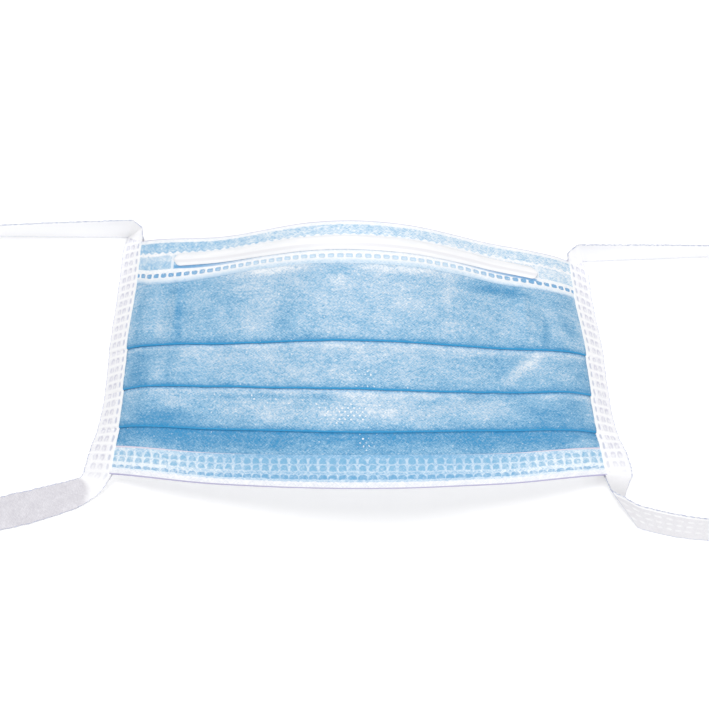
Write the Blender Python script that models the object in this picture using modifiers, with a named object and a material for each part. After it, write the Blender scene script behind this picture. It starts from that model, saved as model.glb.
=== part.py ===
"""Surgical face mask with three pleats, lying face up on a surface.

Metres, +Z up. X runs across the mask, +Y towards its nose edge, and the
surface that it lies on is z = 0. The bent nose wire holds the cloth up as a
low arch: its two side bindings rest on the surface and its middle is hollow.

The pleated body, its two hems and its side bindings all lie on one arch.
A place on that arch is given by a share across it (-1 left, 0 middle,
1 right), a distance down it from the top edge, and a height off it.
"""
import math

import bmesh
import bpy
import numpy as np

# Overall sizes
WIDTH = 0.175            # cloth, from side edge to side edge
TOP_HEM = 0.0149         # heights down the middle of the mask
PANEL_1 = 0.0218
PANEL_2 = 0.0156
PANEL_3 = 0.0128
PANEL_4 = 0.0068
BOTTOM_HEM = 0.0079
SIDE_LIFT = 0.014        # how far the left edge lies above the middle

# Cloth
WALL = 0.001             # pressed laminate of three plies
GAP = 0.0003             # air between two layers
PLEAT_1 = 0.011          # depth of each pleat
PLEAT_2 = 0.008
PLEAT_3 = 0.0065
PLEAT_END = 0.0045       # stretch in which a pleat runs out beside a binding

# Bindings, hems, ties and nose wire
BINDING_WIDTH = 0.0105
HEM_TURN = 0.007         # how far a hem reaches on the inner side
TIE_WIDTH = 0.0105
UPPER_REACH = 0.0416     # tie beyond the mask's side, across X
LOWER_LEFT_REACH = 0.0265
LOWER_RIGHT_REACH = 0.0225
WIRE_LENGTH = 0.123
WIRE_WIDTH = 0.0045
WIRE_THICK = 0.0012
WIRE_DROP = 0.0084       # from the top edge to the wire's middle line
WIRE_SAG_LEFT = 0.0010   # how much lower than that its two ends lie
WIRE_SAG_RIGHT = 0.0024
WIRE_SHIFT = 0.0002      # the wire sits a little to the right
PRESS = 0.0004           # cloth this close to the surface is pressed flat on it

# Where the rows of the arch lie, down its middle
ROW_DROPS = np.cumsum([0.0, TOP_HEM, PANEL_1, PANEL_2, PANEL_3, PANEL_4, BOTTOM_HEM])
HEIGHT = ROW_DROPS[-1]
FOLD_1, FOLD_2, FOLD_3, LOW_HEM_EDGE = ROW_DROPS[2:6]

# The arch at each row: the slope at its side edge and the extra slope on its
# flank in degrees, and how far the row lifts towards +Y at the left edge, left
# half, right half and right edge, as shares of SIDE_LIFT.
ARCH_COLUMNS = ("edge", "flank", "left", "left_half", "right_half", "right")
ARCH_ROWS = {
    "top edge":       (44.0, 31.0, 1.06, 0.35, 0.10, 0.17),
    "hem edge":       (45.0, 28.0, 0.95, 0.42, 0.16, 0.23),
    "first fold":     (47.5, 19.0, 0.84, 0.32, 0.10, 0.44),
    "second fold":    (47.0, 17.5, 0.93, 0.43, 0.17, 0.58),
    "third fold":     (40.0, 17.5, 0.98, 0.41, 0.26, 0.61),
    "low hem edge":   (32.0, 17.0, 1.06, 0.37, 0.25, 0.79),
    "bottom edge":    (23.0, 13.5, 0.99, 0.36, 0.25, 0.74),
}
FLANK_END = 0.78         # share across where the flank's extra slope ends
EDGE_BEND = (0.55, 0.95)  # shares across between which the edge slope sets in
ARCH_STEPS = 400

# A tie as sections: share along it, then its outer edge across and up from
# the corner as shares of its reach, then the way from that edge to the other
# one in X, Y and Z as shares of TIE_WIDTH. Each leaves the binding's end.
TIE_COLUMNS = ("along", "out", "up", "over_out", "over_up", "over_z")
UPPER_TIE = (
    (0.06, 0.000, 0.040, -0.62, 0.06, 0.78),
    (0.12, 0.025, 0.080, -0.42, 0.06, 0.90),
    (0.20, 0.085, 0.095, -0.20, -0.04, 0.98),
    (0.32, 0.200, 0.100, -0.08, -0.12, 0.99),
    (0.60, 0.530, 0.105, 0.00, -0.18, 0.98),
    (1.00, 1.000, 0.125, 0.00, -0.28, 0.96),
)
LOWER_LEFT_TIE = (
    (0.08, 0.045, -0.050, -0.84, -0.42, 0.20),
    (0.18, 0.130, -0.080, -0.58, -0.66, 0.05),
    (0.36, 0.310, -0.120, -0.36, -0.88, 0.00),
    (0.60, 0.550, -0.180, -0.25, -0.97, 0.00),
    (1.00, 1.000, -0.290, -0.22, -0.98, 0.00),
)
LOWER_RIGHT_TIE = (
    (0.10, -0.050, -0.130, -0.78, -0.16, 0.60),
    (0.20, -0.100, -0.290, -0.42, -0.28, 0.86),
    (0.34, -0.060, -0.500, -0.10, -0.12, 0.99),
    (0.50, 0.060, -0.720, 0.05, 0.10, 0.99),
    (0.66, 0.270, -0.810, 0.02, 0.20, 0.98),
    (1.00, 1.000, -0.900, 0.00, 0.20, 0.98),
)

LAYER = WALL + GAP       # from one layer's middle to the next one's
FOLD_RADIUS = LAYER / 2
EDGE_INSET = WALL + GAP  # the body's edge, inside a turned strip
TURN_CENTRE = WALL / 2 + LAYER

# Inward from the side edge: the pleats are gone, are only steps, are whole
PLEAT_GONE = BINDING_WIDTH + WALL
PLEAT_OPENS = PLEAT_GONE + PLEAT_END
PLEAT_START = PLEAT_OPENS + PLEAT_END
PLEAT_COLUMNS = np.linspace(PLEAT_GONE, PLEAT_START, 5)


def smooth(start, end, value):
    """0 before start, 1 after end, and a soft step between them."""
    share = np.clip((value - start) / (end - start), 0, 1)
    return share * share * (3 - 2 * share)


def through(stations, values, at):
    """Smooth curve through a value at each station, straight beyond the ends."""
    stations = np.asarray(stations, float)
    values = np.asarray(values, float)
    slopes = np.gradient(values, stations, axis=0)
    at = np.asarray(at, float)
    inside = np.clip(at, stations[0], stations[-1])
    index = np.clip(np.searchsorted(stations, inside, side="right") - 1, 0, len(stations) - 2)
    span = stations[index + 1] - stations[index]
    share = (inside - stations[index]) / span
    if values.ndim > 1:
        span = span[..., None]
        share = share[..., None]
        beyond = (at - inside)[..., None]
    else:
        beyond = at - inside
    left = (1 + 2 * share) * (1 - share) ** 2 * values[index]
    left_slope = share * (1 - share) ** 2 * span * slopes[index]
    right = share ** 2 * (3 - 2 * share) * values[index + 1]
    right_slope = share ** 2 * (share - 1) * span * slopes[index + 1]
    end_slope = np.where(share < 0.5, slopes[index], slopes[index + 1])
    return left + left_slope + right + right_slope + beyond * end_slope


def across_share(inward):
    """Share across the arch of a distance inward from its side edge."""
    return 1 - inward / (WIDTH / 2)


def columns_across(margin):
    """Shares across at which every piece has its columns, so layers stay apart."""
    middle = np.linspace(PLEAT_START, WIDTH / 2, 8)[1:]
    left = [-across_share(inward) for inward in (*margin, *middle)]
    return np.array(left + [-share for share in reversed(left[:-1])])


def arch_line(drop):
    """X and Z of one row of the arch, and how it lifts, for any share across."""
    values = through(ROW_DROPS, list(ARCH_ROWS.values()), np.array([drop]))[0]
    row = dict(zip(ARCH_COLUMNS, values))
    shares = np.linspace(-1, 1, 2 * ARCH_STEPS + 1)
    side = np.abs(shares)
    slope = row["flank"] * np.sin(math.pi * np.clip(side / FLANK_END, 0, 1))
    slope = -np.sign(shares) * np.radians(slope + row["edge"] * smooth(*EDGE_BEND, side))
    step = WIDTH / 2 / ARCH_STEPS
    mid_slope = (slope[1:] + slope[:-1]) / 2
    x = np.concatenate([[0], np.cumsum(np.cos(mid_slope)) * step])
    z = np.concatenate([[0], np.cumsum(np.sin(mid_slope)) * step])
    x = x - np.interp(0, shares, x)
    rim = TURN_CENTRE * (1 - math.sin(math.radians(row["edge"])))
    lifts = (row["left"], row["left_half"], 0, row["right_half"], row["right"])
    lift = through((-1, -0.5, 0, 0.5, 1), lifts, shares)
    y = HEIGHT / 2 - drop + SIDE_LIFT * lift
    return shares, np.stack([x, y, z + rim], axis=1)


def arch_points(across, drop):
    """Points of the arch at shares across it, all at one drop from its top."""
    shares, line = arch_line(drop)
    return np.stack([np.interp(across, shares, line[:, axis]) for axis in range(3)], axis=1)


def arch_row(across, drop, height):
    """Points at a height off the arch, along one row."""
    across = np.asarray(across, float)
    height = np.broadcast_to(np.asarray(height, float), across.shape)
    small = 0.0005
    share = small / (WIDTH / 2)
    point = arch_points(across, drop)
    along_x = arch_points(across + share, drop) - arch_points(across - share, drop)
    reach = np.where(np.abs(across) + share > 1, 1.0, 2.0)[:, None]
    along_y = arch_points(across, drop - small) - arch_points(across, drop + small)
    normal = np.cross(along_x / reach, along_y / 2)
    normal /= np.linalg.norm(normal, axis=1)[:, None]
    return point + normal * height[:, None]


def sheet_object(name, points, thickness, material, collection, parent):
    """A closed sheet: a grid primitive shaped by points[row][column], then Solidify.

    What comes down to the surface is pressed flat on it.
    """
    points = np.asarray(points, float)
    rows, columns = points.shape[0] - 1, points.shape[1] - 1
    mesh = bpy.data.meshes.new(name)
    grid = bmesh.new()
    bmesh.ops.create_grid(grid, x_segments=columns, y_segments=rows, size=0.5)
    for vertex in grid.verts:
        column = round((vertex.co.x + 0.5) * columns)
        row = round((0.5 - vertex.co.y) * rows)
        vertex.co = points[row, column]
    grid.to_mesh(mesh)
    grid.free()
    sheet = bpy.data.objects.new(name + "_sheet", mesh)
    collection.objects.link(sheet)
    solidify = sheet.modifiers.new("thickness", "SOLIDIFY")
    solidify.thickness = thickness
    solidify.offset = 0
    depsgraph = bpy.context.evaluated_depsgraph_get()
    solid = bpy.data.meshes.new_from_object(sheet.evaluated_get(depsgraph))
    bpy.data.objects.remove(sheet)
    for vertex in solid.vertices:
        if vertex.co.z < PRESS:
            vertex.co.z = 0
    solid.materials.clear()
    solid.materials.append(material)
    solid.shade_smooth()
    solid.set_sharp_from_angle(angle=math.radians(50))
    solid.name = name
    piece = bpy.data.objects.new(name, solid)
    collection.objects.link(piece)
    piece.parent = parent
    return piece


def cloth_material(name, colour, roughness):
    """A matt, non-metallic Principled BSDF."""
    material = bpy.data.materials.new(name)
    material.use_nodes = True
    shader = material.node_tree.nodes["Principled BSDF"]
    shader.inputs["Base Color"].default_value = (*colour, 1)
    shader.inputs["Roughness"].default_value = roughness
    shader.inputs["Metallic"].default_value = 0
    return material


def turn_path(near, far):
    """Section of a strip turned round an edge: (distance from the edge, height)."""
    front = [(near, LAYER), ((near + TURN_CENTRE) / 2, LAYER)]
    angles = np.radians(np.linspace(0, 180, 7))
    turn = [(TURN_CENTRE - LAYER * math.sin(a), LAYER * math.cos(a)) for a in angles]
    return front + turn + [(far, -LAYER)]


def panel_height(drop):
    """How far the outer layer lies off the arch: each panel starts under a fold."""
    level = 0.0
    ends = (FOLD_2, FOLD_3, LOW_HEM_EDGE - WALL)
    for start, end in zip((FOLD_1, FOLD_2, FOLD_3), ends):
        if drop > start:
            level = -2 * LAYER * (1 - smooth(start, end, drop))
    return float(level)


def pleat_path(fold, depth):
    """One pleat: over its fold, back under the panel, and forward again below.

    Each entry is (drop, height, drop where the pleat has run out).
    """
    path = []
    front = fold - FOLD_RADIUS
    back = fold - depth + FOLD_RADIUS
    for angle in np.radians((0, 60, 120, 180)):
        path.append((front + FOLD_RADIUS * math.sin(angle), -FOLD_RADIUS * (1 - math.cos(angle))))
    path.append(((front + back) / 2, -LAYER))
    for angle in np.radians((0, 60, 120, 180)):
        turn = FOLD_RADIUS * (1 - math.cos(angle))
        path.append((back - FOLD_RADIUS * math.sin(angle), -LAYER - turn))
    path.append(((front + back) / 2, -2 * LAYER))
    covered = [drop for drop, _ in path]
    stack = [height + panel_height(min(drop, fold)) for drop, height in path]
    opened = np.linspace(front, fold + LAYER, len(path))
    return list(zip(covered, stack, opened))


def body_path():
    """The whole serpentine of the body, from its top edge to its bottom edge."""
    path = []

    def panel(start, end, steps, last=False):
        for drop in np.linspace(start, end, steps, endpoint=last):
            path.append((drop, panel_height(drop), drop))

    panel(EDGE_INSET, TOP_HEM, 3)
    panel(TOP_HEM, FOLD_1 - FOLD_RADIUS, 5)
    path.extend(pleat_path(FOLD_1, PLEAT_1))
    panel(FOLD_1 + 1.3 * LAYER, FOLD_2 - FOLD_RADIUS, 5)
    path.extend(pleat_path(FOLD_2, PLEAT_2))
    panel(FOLD_2 + 1.3 * LAYER, FOLD_3 - FOLD_RADIUS, 5)
    path.extend(pleat_path(FOLD_3, PLEAT_3))
    panel(FOLD_3 + 1.3 * LAYER, LOW_HEM_EDGE - WALL, 4)
    panel(LOW_HEM_EDGE - WALL, HEIGHT - EDGE_INSET, 3, last=True)
    return path


def pleated_body(*where):
    """The filtering body: one sheet with three pleats that face down."""
    across = columns_across((EDGE_INSET, BINDING_WIDTH * 0.6, *PLEAT_COLUMNS))
    inward = (1 - np.abs(across)) * WIDTH / 2
    folded = smooth(PLEAT_OPENS, PLEAT_START, inward)
    raised = smooth(PLEAT_GONE, PLEAT_OPENS, inward)
    points = []
    for drop, height, opened in body_path():
        row = [arch_row([a], opened + (drop - opened) * f, height * r)[0]
               for a, f, r in zip(across, folded, raised)]
        points.append(row)
    blue = cloth_material("pleated_body", (0.25, 0.50, 0.76), 0.85)
    return sheet_object("pleated_body", points, WALL, blue, *where)


def hem(name, top_edge, near, far, *where):
    """A strip turned over the top or bottom edge, between the two bindings."""
    across = columns_across((BINDING_WIDTH + GAP, *PLEAT_COLUMNS[1:]))
    points = []
    for inward, height in turn_path(near, far):
        drop = inward if top_edge else HEIGHT - inward
        points.append(arch_row(across, drop, height))
    pale = cloth_material(name, (0.62, 0.78, 0.92), 0.8)
    return sheet_object(name, points, WALL, pale, *where)


def nose_wire(*where):
    """The bendable bar on the top hem, with round ends."""
    start, end = -WIRE_LENGTH / 2, WIRE_LENGTH / 2
    round_end = WIRE_WIDTH / 2
    shared = columns_across(()) * WIDTH / 2
    ends = round_end * (1 - np.cos(np.radians((10, 35, 60, 90))))
    stations = np.concatenate([start + ends, shared - WIRE_SHIFT, end - ends[::-1]])
    stations = np.array([s for s in stations if start < s < end])
    height = LAYER + WALL / 2 + GAP + WIRE_THICK / 2
    points = []
    for share in (-1, -0.5, 0.5, 1):
        row = []
        for station in stations:
            near_end = max(0.0, round_end - min(station - start, end - station))
            half = math.sqrt(max(0.0, round_end ** 2 - near_end ** 2))
            across = (station + WIRE_SHIFT) / (WIDTH / 2)
            sag = (WIRE_SAG_LEFT if station < 0 else WIRE_SAG_RIGHT) * (station / end) ** 2
            row.append(arch_row([across], WIRE_DROP + sag + share * half, height)[0])
        points.append(row)
    white = cloth_material("nose_wire", (0.93, 0.94, 0.96), 0.45)
    return sheet_object("nose_wire", points, WIRE_THICK, white, *where)


def binding(name, side, *where):
    """A strip turned round a side edge, over the margin of the body."""
    points = []
    for inward, height in turn_path(BINDING_WIDTH, BINDING_WIDTH):
        column = [arch_row([side * across_share(inward)], drop, height)[0]
                  for drop in np.linspace(0, HEIGHT, 15)]
        points.append(column)
    white = cloth_material(name, (0.90, 0.90, 0.93), 0.8)
    return sheet_object(name, points, WALL, white, *where)


def tie(name, side, at_top, reach, table, *where):
    """A flat strip that leaves the end of a binding, section by section."""
    end = -GAP if at_top else HEIGHT + GAP
    corner, inner = (arch_row([side * across_share(inward)], end, LAYER)[0]
                     for inward in (TURN_CENTRE, BINDING_WIDTH))
    start = (inner - corner) / TIE_WIDTH
    rows = [(0.0, 0.0, 0.0, start[0] * side, start[1], start[2])] + list(table)
    rows = np.array(rows)
    sections = through(rows[:, 0], rows[:, 1:], np.linspace(0, 1, 19) ** 1.35)
    points = []
    for number, values in enumerate(sections):
        at = dict(zip(TIE_COLUMNS[1:], values))
        over = np.array([at["over_out"] * side, at["over_up"], max(at["over_z"], 0)]) * TIE_WIDTH
        flat = math.hypot(over[0], over[1]) / np.linalg.norm(over)
        settle = smooth(0, 3, number)
        height = corner[2] + (WALL / 2 * flat - corner[2]) * settle
        edge = np.array([corner[0] + side * at["out"] * reach, corner[1] + at["up"] * reach, height])
        points.append([edge, edge + over / 2, edge + over])
    white = cloth_material(name, (0.86, 0.85, 0.89), 0.8)
    return sheet_object(name, points, WALL, white, *where)


def main():
    for thing in list(bpy.data.objects):
        bpy.data.objects.remove(thing)
    collection = bpy.data.collections.new("surgical_face_mask")
    bpy.context.scene.collection.children.link(collection)
    origin = bpy.data.objects.new("mask_origin", None)
    collection.objects.link(origin)
    where = (collection, origin)
    pieces = [
        pleated_body(*where),
        hem("top_hem", True, TOP_HEM, HEM_TURN, *where),
        hem("bottom_hem", False, BOTTOM_HEM, HEM_TURN, *where),
        nose_wire(*where),
        binding("left_binding", -1, *where),
        binding("right_binding", 1, *where),
        tie("upper_left_tie", -1, True, UPPER_REACH, UPPER_TIE, *where),
        tie("upper_right_tie", 1, True, UPPER_REACH, UPPER_TIE, *where),
        tie("lower_left_tie", -1, False, LOWER_LEFT_REACH, LOWER_LEFT_TIE, *where),
        tie("lower_right_tie", 1, False, LOWER_RIGHT_REACH, LOWER_RIGHT_TIE, *where),
    ]
    corners = np.array([vertex.co for piece in pieces for vertex in piece.data.vertices])
    low, high = corners.min(axis=0), corners.max(axis=0)
    origin.location = (-(low[0] + high[0]) / 2, -(low[1] + high[1]) / 2, 0)


main()
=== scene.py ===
"""Dressed surgical face mask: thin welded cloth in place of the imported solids."""
import math

import bpy
import numpy as np
from mathutils import Matrix, Vector


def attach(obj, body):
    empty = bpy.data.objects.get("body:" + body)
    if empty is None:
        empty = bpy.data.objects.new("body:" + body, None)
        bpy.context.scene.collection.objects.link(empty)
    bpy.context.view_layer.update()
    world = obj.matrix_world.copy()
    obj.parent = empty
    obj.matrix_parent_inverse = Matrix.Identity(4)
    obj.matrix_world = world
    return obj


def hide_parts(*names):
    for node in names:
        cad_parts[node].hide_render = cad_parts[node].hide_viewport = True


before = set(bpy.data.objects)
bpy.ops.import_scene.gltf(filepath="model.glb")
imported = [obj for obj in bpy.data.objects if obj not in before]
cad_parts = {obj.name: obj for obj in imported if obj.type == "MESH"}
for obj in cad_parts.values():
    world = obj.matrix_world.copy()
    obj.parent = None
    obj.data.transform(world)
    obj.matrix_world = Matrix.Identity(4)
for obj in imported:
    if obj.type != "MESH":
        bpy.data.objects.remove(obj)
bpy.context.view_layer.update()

MM = 0.001

# The arch that the cloth lies on, as in part.py
WIDTH = 0.175
ROW_DROPS = np.cumsum([0.0, 0.0149, 0.0218, 0.0156, 0.0128, 0.0068, 0.0079])
HEIGHT = ROW_DROPS[-1]
TOP_HEM, FOLD_1, FOLD_2, FOLD_3, LOW_HEM_EDGE = ROW_DROPS[1:6]
FOLDS = (FOLD_1, FOLD_2, FOLD_3)
SIDE_LIFT = 0.014
ARCH_COLUMNS = ("edge", "flank", "left", "left_half", "right_half", "right")
ARCH_ROWS = (
    (44.0, 31.0, 1.06, 0.35, 0.10, 0.17),
    (45.0, 28.0, 0.95, 0.42, 0.16, 0.23),
    (47.5, 19.0, 0.84, 0.32, 0.10, 0.44),
    (47.0, 17.5, 0.93, 0.43, 0.17, 0.58),
    (40.0, 17.5, 0.98, 0.41, 0.26, 0.61),
    (32.0, 17.0, 1.06, 0.37, 0.25, 0.79),
    (23.0, 13.5, 0.99, 0.36, 0.25, 0.74),
)
FLANK_END = 0.78
EDGE_BEND = (0.55, 0.95)
PLEATS = (0.011, 0.008, 0.0065)
BINDING_WIDTH = 0.0105
HEM_TURN = 0.007
TIE_WIDTH = 0.0105
WIRE_LENGTH = 0.1242
WIRE_WIDTH = 0.0045
WIRE_DROP = 0.0074
WIRE_SAG = (0.0010, 0.0019)
WIRE_SHIFT = 0.0002
ORIGIN = Vector((-0.000003, -0.004807, 0.0))   # arch to row frame, as in part.py

# Cloth as it really is
CLOTH = 0.00026          # body, three plies
HEM_CLOTH = 0.00024
STRIP_CLOTH = 0.00020
LAYER_SIDE = 0.00032     # from one layer's middle to the next, under a binding
LAYER_MIDDLE = 0.00036
FOLD_GAP = 0.00002       # between a fold and the panel that starts under it
BINDING_UP = 0.00032     # binding's front leaf over the arch
BINDING_DOWN = 0.00104   # its back leaf under it
BINDING_RADIUS = (BINDING_UP + BINDING_DOWN) / 2 + STRIP_CLOTH / 2
HEM_UP = 0.00028
HEM_DOWN = 0.00036
TIE_GAP = 0.00014        # half the way between a tie's two leaves
SIDE_INSET = 0.0006      # the body's side edges, inside the bindings
EDGE_INSET = 0.0012      # its top and bottom edges, inside the hems
FINE_SIDE = 0.0125       # its columns are closer this near a side edge
FOLD_TURN = 0.00030      # how far a fold's turn reaches beyond its line
FOLD_DIP = 0.00022       # how far a panel bends down into its fold
FOLD_DIP_REACH = 0.0011  # and over how long a way
UNDER_FOLD = 0.0006      # a pleat's last layer comes this near its fold
BELOW_FOLD = 0.0001      # and the next panel starts this far below it
UNDER_TOP_HEM = 0.001    # the body's closer rows start this far under the top hem
ABOVE_LOW_HEM = 0.0006   # and end this far above the bottom one
NO_FOLD = 0.02           # past the bottom edge, for the last panel
HEM_UNDER = 0.0006       # how far a hem's ends reach under the bindings
HEM_ROW_STEP = 0.00034
HEM_FULLER = (-0.062, 0.06)  # deeper by, in the middle of the top and bottom hem
HEM_HUMPS = ((-0.73, 0.23, 0.145), (0.62, 0.20, 0.065))  # top hem: across, half width, deeper by
WIRE_RISE = 0.00018      # the bar's sheet over the hem, at its edges
WIRE_CROWN = 0.00055     # and how much more in the middle
WIRE_SHEET = 0.0003      # its thickness
LEAST_HEIGHT = 0.6       # of a cloth's middle over the floor, in thicknesses
STRIP_RAGGED = (0.00010, 0.00015)  # unevenness of a strip's inner and outer edge
STRIP_FOLLOWS = (0.35, 0.45)  # its share of the folds' steps outside, and how much more inside
LEAVES_PART = (0.003, 0.002)  # where they do, beyond and inside a binding's end
MARKS_LATER = 0.0028     # how much later the marks start along its inner edge
MARKS_STOP = 0.0006      # and how far before its lower crease they end
SOFT_LINE = 0.0003       # half the blur of a painted line across a tie

# Weld marks: how far apart in a row, and the rows' distances from the cloth's edge, in mm
TOP_PITCH = 2.8
TOP_MARKS = (12.35,)
BOTTOM_PITCH = 2.9
BOTTOM_MARKS = (6.5, 4.85, 2.75)
BOTTOM_SIZES = ((2.2, 1.3), (2.2, 1.3), (2.7, 1.0))  # each row's marks, along and down
BOTTOM_DEEPER = (0.0, 0.0, 0.7)  # how far each row goes towards the deeper blue
STRIP_PITCH = 3.0
STRIP_MARKS = (2.9, 5.7, 8.7)
STRIP_MARK = (2.0, 2.1)  # along and across the strip
STRIP_INNER_MARK = (1.9, 1.0)
STRIP_LABELS = ("grey", "welded", "dashes_and_highlight", "shade_line")  # painted on a strip's points
DENT = 0.00009           # depth of a mark, in metres
DENT_SIZE = (1.7, 1.5)   # along and across the row
FIBRE_DEPTH = 0.00014    # of the cloths' bump


def smooth(start, end, value):
    """0 before start, 1 after end, and a soft step between them."""
    share = np.clip((np.asarray(value, float) - start) / (end - start), 0, 1)
    return share * share * (3 - 2 * share)


def unit(vectors):
    return vectors / np.maximum(np.linalg.norm(vectors, axis=-1, keepdims=True), 1e-12)


def through(stations, values, at):
    """Smooth curve through a value at each station, straight beyond the ends."""
    stations = np.asarray(stations, float)
    values = np.asarray(values, float)
    slopes = np.gradient(values, stations, axis=0)
    at = np.asarray(at, float)
    inside = np.clip(at, stations[0], stations[-1])
    index = np.clip(np.searchsorted(stations, inside, side="right") - 1, 0, len(stations) - 2)
    span = stations[index + 1] - stations[index]
    share = (inside - stations[index]) / span
    beyond = at - inside
    if values.ndim > 1:
        span, share, beyond = span[..., None], share[..., None], beyond[..., None]
    left = (1 + 2 * share) * (1 - share) ** 2 * values[index]
    left_slope = share * (1 - share) ** 2 * span * slopes[index]
    right = share ** 2 * (3 - 2 * share) * values[index + 1]
    right_slope = share ** 2 * (share - 1) * span * slopes[index + 1]
    end_slope = np.where(share < 0.5, slopes[index], slopes[index + 1])
    return left + left_slope + right + right_slope + beyond * end_slope


ARCH_REACH = 1.04        # the arch's table ends at this share across
ARCH_OVER = 0.006        # and this far past the top and bottom edges
SHARES = np.linspace(-ARCH_REACH, ARCH_REACH, 833)
DROPS = np.linspace(-ARCH_OVER, HEIGHT + ARCH_OVER, 368)


def arch_line(drop):
    """One row of the arch, at all SHARES."""
    values = through(ROW_DROPS, ARCH_ROWS, np.array([drop]))[0]
    row = dict(zip(ARCH_COLUMNS, values))
    side = np.abs(SHARES)
    slope = row["flank"] * np.sin(math.pi * np.clip(side / FLANK_END, 0, 1))
    slope = -np.sign(SHARES) * np.radians(slope + row["edge"] * smooth(*EDGE_BEND, side))
    step = WIDTH / 2 * (SHARES[1] - SHARES[0])
    mid_slope = (slope[1:] + slope[:-1]) / 2
    x = np.concatenate([[0], np.cumsum(np.cos(mid_slope)) * step])
    z = np.concatenate([[0], np.cumsum(np.sin(mid_slope)) * step])
    rim = BINDING_RADIUS * (1 - math.sin(math.radians(row["edge"])))
    lifts = (row["left"], row["left_half"], 0, row["right_half"], row["right"])
    y = HEIGHT / 2 - drop + SIDE_LIFT * through((-1, -0.5, 0, 0.5, 1), lifts, SHARES)
    return np.stack([x - np.interp(0, SHARES, x), y, z - np.interp(-1, SHARES, z) + rim], axis=1)


ARCH = np.array([arch_line(drop) for drop in DROPS])
ARCH_NORMAL = unit(np.cross(np.gradient(ARCH, axis=1), -np.gradient(ARCH, axis=0)))


def place(across, drop, height):
    """Points at shares across the arch, distances down it and heights off it."""
    across, drop, height = np.broadcast_arrays(across, drop, height)
    row = np.clip((drop - DROPS[0]) / (DROPS[1] - DROPS[0]), 0, len(DROPS) - 1.001)
    column = np.clip((across - SHARES[0]) / (SHARES[1] - SHARES[0]), 0, len(SHARES) - 1.001)
    r, c = row.astype(int), column.astype(int)
    fr, fc = (row - r)[..., None], (column - c)[..., None]

    def mix(table):
        upper = table[r, c] * (1 - fc) + table[r, c + 1] * fc
        lower = table[r + 1, c] * (1 - fc) + table[r + 1, c + 1] * fc
        return upper * (1 - fr) + lower * fr

    return mix(ARCH) + unit(mix(ARCH_NORMAL)) * height[..., None]


def inward_share(inward):
    return 1 - inward / (WIDTH / 2)


# Gentle unevenness of the whole cloth, the same for every layer at one place
WAVES = 26
WAVE_RANGE = (0.012, 0.045)
WAVE_STEEPNESS = 0.0022  # height by length
waves = np.random.default_rng(11)
WAVE_LENGTHS = waves.uniform(*WAVE_RANGE, WAVES)
WAVE_ANGLES = waves.uniform(0, math.pi, WAVES)
WAVE_PHASES = waves.uniform(0, 2 * math.pi, WAVES)

# Where the cloth stiffens, and by how much
TOP_STIFFENS, TOP_STIFFNESS = (0.020, 0.012), 0.75
LOW_STIFFENS, LOW_STIFFNESS = (LOW_HEM_EDGE - 0.004, LOW_HEM_EDGE + 0.003), 0.6
SIDE_FREES = (0.013, 0.026)

# Creases and swellings: middle across and down in mm, half length, half width,
# the way it runs in degrees (0 is across the mask), and its height in mm.
CREASES = (
    (-59.5, 24.0, 9.0, 1.6, 86.0, 0.55),
    (55.5, 25.0, 9.0, 1.6, 95.0, 0.55),
    (-66.0, 28.0, 9.0, 3.5, 90.0, -0.45),
    (63.0, 28.0, 9.0, 3.5, 90.0, -0.45),
    (47.0, 47.0, 9.0, 1.8, -48.0, 0.55),
    (41.0, 49.0, 8.0, 2.2, -50.0, -0.40),
    (-2.0, 41.0, 26.0, 3.0, 2.0, 0.35),
    (28.0, 60.0, 12.0, 1.8, -20.0, 0.45),
    (-52.0, 58.5, 7.0, 2.4, 20.0, 0.40),
    (10.0, 30.0, 30.0, 4.0, 3.0, 0.30),
    (-30.0, 32.0, 14.0, 3.0, -8.0, 0.30),
    (38.0, 22.0, 14.0, 2.5, -14.0, 0.50),
)


def spots(table, x, y):
    """Each row's amount, how far along and aside of it places lie, and its drop."""
    for across, down, length, width, degrees, amount in table:
        turn = math.radians(degrees)
        dx, dy = x - across, y - down
        along = (dx * math.cos(turn) + dy * math.sin(turn)) / length
        aside = (dy * math.cos(turn) - dx * math.sin(turn)) / width
        yield amount, along, aside, down


def relief(across, drop):
    """How far the cloth bulges off the arch at a place."""
    across, drop = np.broadcast_arrays(np.asarray(across, float), np.asarray(drop, float))
    x, y = across * WIDTH / 2, drop
    height = np.zeros(x.shape)
    for length, angle, phase in zip(WAVE_LENGTHS, WAVE_ANGLES, WAVE_PHASES):
        way = x * math.cos(angle) + y * math.sin(angle)
        height = height + np.sin(2 * math.pi * way / length + phase) * length * WAVE_STEEPNESS
    for amount, along, aside, _ in spots(CREASES, x / MM, y / MM):
        height = height + amount * MM * np.exp(-along ** 4 - aside ** 2)
    stiff = smooth(*TOP_STIFFENS, drop) * TOP_STIFFNESS
    low_stiff = smooth(*LOW_STIFFENS, drop) * LOW_STIFFNESS
    side = smooth(*SIDE_FREES, (1 - np.abs(across)) * WIDTH / 2)
    return height * side * (1 - stiff) * (1 - low_stiff)
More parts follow.
